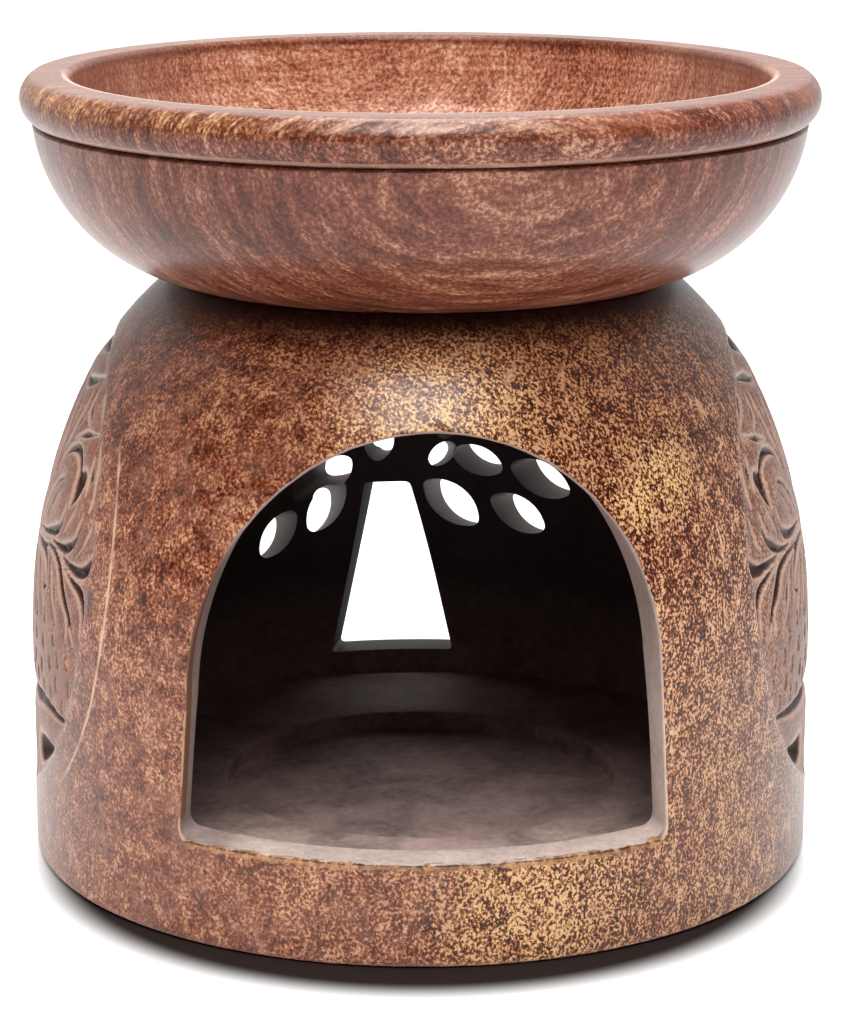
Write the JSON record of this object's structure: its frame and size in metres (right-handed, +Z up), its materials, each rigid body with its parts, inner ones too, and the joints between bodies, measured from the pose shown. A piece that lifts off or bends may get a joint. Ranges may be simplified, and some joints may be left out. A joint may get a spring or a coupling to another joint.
{
  "type": "essential oil burner",
  "caption": "Domed stone oil burner: a hollow chamber with an arched door and a pierced tree holds a tea light under a lift-off bowl.",
  "frame": {"origin": "centre of the chamber's flat underside", "axes": "+Z up along the turning axis, the doorway faces -Y and the pierced tree +Y"},
  "size_m": [0.1014, 0.1014, 0.1004],
  "materials": {
    "chamber_stone": "waxed",
    "bowl_stone": "waxed"
  },
  "bodies": {
    "chamber": {"stone_chamber": "chamber_stone"},
    "bowl": {"oil_bowl": "bowl_stone"}
  },
  "joints": [
    {"name": "bowl_lift", "type": "slide", "parent": "chamber", "child": "bowl", "axis": [0, 0, 1], "range_m": [0, 0.06]}
  ]
}
